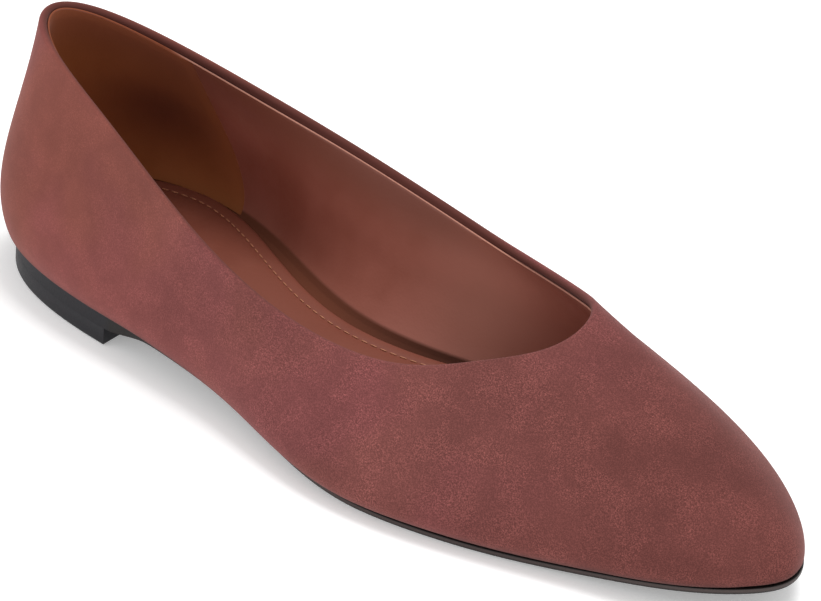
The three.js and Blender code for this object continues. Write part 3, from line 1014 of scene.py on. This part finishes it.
def stitch_tree():
    """Geometry nodes that lay rounded stitches at an even pitch along a closed line of edges."""
    tree = bpy.data.node_groups.new("row_of_stitches", "GeometryNodeTree")
    tree.interface.new_socket("Line", in_out="INPUT", socket_type="NodeSocketGeometry")
    for name in ("Pitch", "Stitch Length", "Thread Width"):
        tree.interface.new_socket(name, in_out="INPUT", socket_type="NodeSocketFloat")
    tree.interface.new_socket("Thread", in_out="INPUT", socket_type="NodeSocketMaterial")
    tree.interface.new_socket("Stitches", in_out="OUTPUT", socket_type="NodeSocketGeometry")
    given = add(tree, "NodeGroupInput").outputs
    line = add(tree, "GeometryNodeMeshToCurve", {"Mesh": given["Line"]})
    spots = add(tree, "GeometryNodeResampleCurve", {
        "Curve": line.outputs["Curve"], "Length": given["Pitch"],
    }, mode="LENGTH")
    along = add(tree, "GeometryNodeInputTangent")
    turned = add(tree, "FunctionNodeAlignRotationToVector", {"Vector": along.outputs["Tangent"]}, axis="X")
    ball = add(tree, "GeometryNodeMeshUVSphere", {
        "Segments": STITCH_SEGMENTS, "Rings": STITCH_RINGS, "Radius": 0.5,
    })
    size = add(tree, "ShaderNodeCombineXYZ", {
        "X": given["Stitch Length"], "Y": given["Thread Width"], "Z": given["Thread Width"],
    })
    laid = add(tree, "GeometryNodeInstanceOnPoints", {
        "Points": spots.outputs["Curve"], "Instance": ball.outputs["Mesh"],
        "Rotation": turned.outputs["Rotation"], "Scale": size.outputs["Vector"],
    })
    real = add(tree, "GeometryNodeRealizeInstances", {"Geometry": laid.outputs["Instances"]})
    soft = add(tree, "GeometryNodeSetShadeSmooth", {"Geometry": real.outputs["Geometry"]})
    painted = add(tree, "GeometryNodeSetMaterial", {
        "Geometry": soft.outputs["Geometry"], "Material": given["Thread"],
    })
    add(tree, "NodeGroupOutput", {"Stitches": painted.outputs["Geometry"]})
    return tree


def sock_stitches():
    """Row of tan stitches in the sock's sewn channel."""
    line = in_metres(sock_outline(STITCH_INSET, SOCK_THICKNESS - STITCH_SINK))
    count = len(line)
    mesh = bpy.data.meshes.new("stitch_line")
    mesh.from_pydata(line.tolist(), [(i, (i + 1) % count) for i in range(count)], [])
    guide = link("stitch_line", mesh)
    tree = stitch_tree()
    modifier = guide.modifiers.new("row_of_stitches", "NODES")
    modifier.node_group = tree
    wanted = {
        "Pitch": STITCH_PITCH * MM, "Stitch Length": STITCH_LENGTH * MM,
        "Thread Width": THREAD_WIDTH * MM, "Thread": spun_thread(),
    }
    for item in tree.interface.items_tree:
        if item.name in wanted:
            modifier[item.identifier] = wanted[item.name]
    evaluated = guide.evaluated_get(bpy.context.evaluated_depsgraph_get())
    made = bpy.data.meshes.new_from_object(evaluated)
    made.name = "sock_stitches"
    bpy.data.objects.remove(guide)
    piece = link("sock_stitches", made)
    return piece


def sole_outline(inset, level):
    """Outline of the outsole at a share of its thickness from the ground face."""
    place = places_round()
    rib = rib_at(place)
    points = beside_feather(place, rib["edge"] - inset * past_seat(rib["x"]), 0)
    points[:, 2] -= mix(sole_thickness(points[:, 0]), UPPER_GAP, level)
    return points


def outsole():
    """Thin outsole: its side is rounded under, and its top lies under the margin of the upper."""
    outlines = []
    for turn in QUARTER_TURN:
        outlines.append(sole_outline(
            SOLE_EDGE_BEVEL * (1 - math.sin(turn)), SOLE_EDGE_RISE * (1 - math.cos(turn)),
        ))
    outlines += [sole_outline(inset, level) for inset, level in SOLE_SIDE]

    def top_height(x, _across):
        return feather_height(x) - UPPER_GAP

    def bottom_height(x, _across):
        return feather_height(x) - sole_thickness(x)

    points, faces = stack(outlines, SOLE_COLUMNS, top_height, bottom_height)
    # The lighter band on the sole's side is a painted highlight.
    piece = make_piece("sole", points, faces, moulded_rubber(
        "moulded_sole_rubber", "#14100F", "#1B1715", 0.6, 0.5,
        (("painted_lit_band", "#463B39"), ("over_heel", "#18171C")),
    ))
    x, z = points[:, 0], points[:, 2]
    level = (z - feather_height(x) + sole_thickness(x)) / sole_thickness(x)
    # Painted lit band along the middle of the sole's side, forward of the arch.
    band = smooth(level, *BAND_FOOT) * (1 - smooth(level, *BAND_HEAD)) * smooth(x, *BAND_START)
    set_attribute(piece, "painted_lit_band", band)
    set_attribute(piece, "over_heel", 1 - smooth(x, HEEL_LENGTH, HEEL_LENGTH + HEEL_SHADE_FADE))
    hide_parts("outsole")
    return piece


def heel_block():
    """Low heel block: flush with the sole, with a hollow breast and a rounded ground edge."""
    place = np.linspace(place_at(HEEL_LENGTH, -1), place_at(HEEL_LENGTH, 1), HEEL_WALL_STEPS + 1)
    across = np.arange(1, BREAST_STEPS) / BREAST_STEPS
    top = HEEL_SEAT_HEIGHT - HEEL_SEAT_THICKNESS - HEEL_GAP
    levels = [
        (HEEL_EDGE_ROUND * (1 - math.sin(turn)), HEEL_EDGE_ROUND * (1 - math.cos(turn)))
        for turn in QUARTER_TURN
    ]
    levels += [(0, mix(HEEL_EDGE_ROUND, top, 0.5)), (0, top - HEEL_TOP_ROUND), (HEEL_TOP_ROUND, top)]
    outlines = []
    for inset, z in levels:
        wall = beside_feather(place, rib_at(place)["edge"] - inset, 0)
        wall[[0, -1], 0] -= inset
        left, right = wall[0], wall[-1]
        breast = mix(right, left, across[:, None])
        breast[:, 0] -= BREAST_HOLLOW * (1 - (2 * across - 1) ** 2)
        outline = np.concatenate([wall, breast])
        outline[:, 2] = z
        outlines.append(outline)
    around = len(outlines[0])
    faces = ring_faces(len(outlines), around)
    last = (len(outlines) - 1) * around
    faces.append(list(range(around))[::-1])
    faces.append([last + i for i in range(around)])
    piece = make_piece("heel_block", np.concatenate(outlines), faces, moulded_rubber(
        "moulded_heel_rubber", "#151419", "#1B1A1F", 0.5, 0.5,
    ))
    for flat in (-1, -2):
        piece.data.polygons[flat].use_smooth = False
    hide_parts("heel")
    return piece


for piece in (
    suede_upper(), lining(), heel_grip(), padded_sock(), sock_stitches(), outsole(), heel_block(),
):
    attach(piece, "root")


# Floor, light and camera.

def studio_floor():
    """White floor, wide enough to fill the picture."""
    mesh = bpy.data.meshes.new("studio_floor")
    half = FLOOR_WIDTH / 2
    corners = [(-half, -half, 0), (half, -half, 0), (half, half, 0), (-half, half, 0)]
    mesh.from_pydata(corners, [], [(0, 1, 2, 3)])
    mesh.materials.append(floor_paper())
    link("studio_floor", mesh)


def studio_light():
    """Soft boxes that face the shoe, in a white room."""
    world = bpy.data.worlds.new("studio")
    world.use_nodes = True
    room = world.node_tree.nodes["Background"]
    room.inputs["Color"].default_value = WHITE
    room.inputs["Strength"].default_value = ROOM_LIGHT
    bpy.context.scene.world = world
    for name, at, size, power in SOFT_BOXES:
        light = bpy.data.lights.new(name, "AREA")
        light.shape = "RECTANGLE"
        light.size, light.size_y = size
        light.energy = power
        lamp = link(name, light)
        lamp.location = at
        lamp.rotation_euler = (Vector(LIT_POINT) - Vector(at)).to_track_quat("-Z", "Y").to_euler()
    bpy.context.scene.view_settings.view_transform = "Standard"


# The camera was fitted to the photograph's outlines: its turn and height over the shoe and its roll in
# degrees, its distance in millimetres, its focal length in pixels of the photograph, and the place in
# the photograph, from its middle, of a point on the shoe.
CAMERA_TURN = 48.04
CAMERA_HEIGHT = 28.79
CAMERA_ROLL = 3.32
CAMERA_DISTANCE = 3424.6
FOCAL_PX = 14344.0
AIM_POINT = (125.0, 0.0, 25.0)
AIM_PX = (-6.7, 24.0)
PHOTO_WIDTH_PX = 821
SENSOR_MM = 36.0

# How far the camera sees, in metres.
SIGHT = 100


def photo_camera():
    """Camera that looks as the photograph's did."""
    turn, height, roll = map(math.radians, (CAMERA_TURN, CAMERA_HEIGHT, CAMERA_ROLL))
    flat = math.cos(height)
    back = Vector((flat * math.cos(turn), -flat * math.sin(turn), math.sin(height)))
    level = Vector((math.sin(turn), math.cos(turn), 0))
    upright = back.cross(level)
    right = math.cos(roll) * level + math.sin(roll) * upright
    up = math.cos(roll) * upright - math.sin(roll) * level
    per_px = CAMERA_DISTANCE / FOCAL_PX
    at = Vector(AIM_POINT) + back * CAMERA_DISTANCE
    at += up * (AIM_PX[1] * per_px) - right * (AIM_PX[0] * per_px)
    data = bpy.data.cameras.new("photo_camera")
    data.sensor_width = SENSOR_MM
    data.lens = FOCAL_PX / PHOTO_WIDTH_PX * SENSOR_MM
    data.clip_end = SIGHT
    camera = link("photo_camera", data)
    facing = Matrix((right, up, back)).transposed().to_4x4()
    camera.matrix_world = Matrix.Translation(in_metres(at)) @ facing
    bpy.context.scene.camera = camera


studio_floor()
studio_light()
photo_camera()
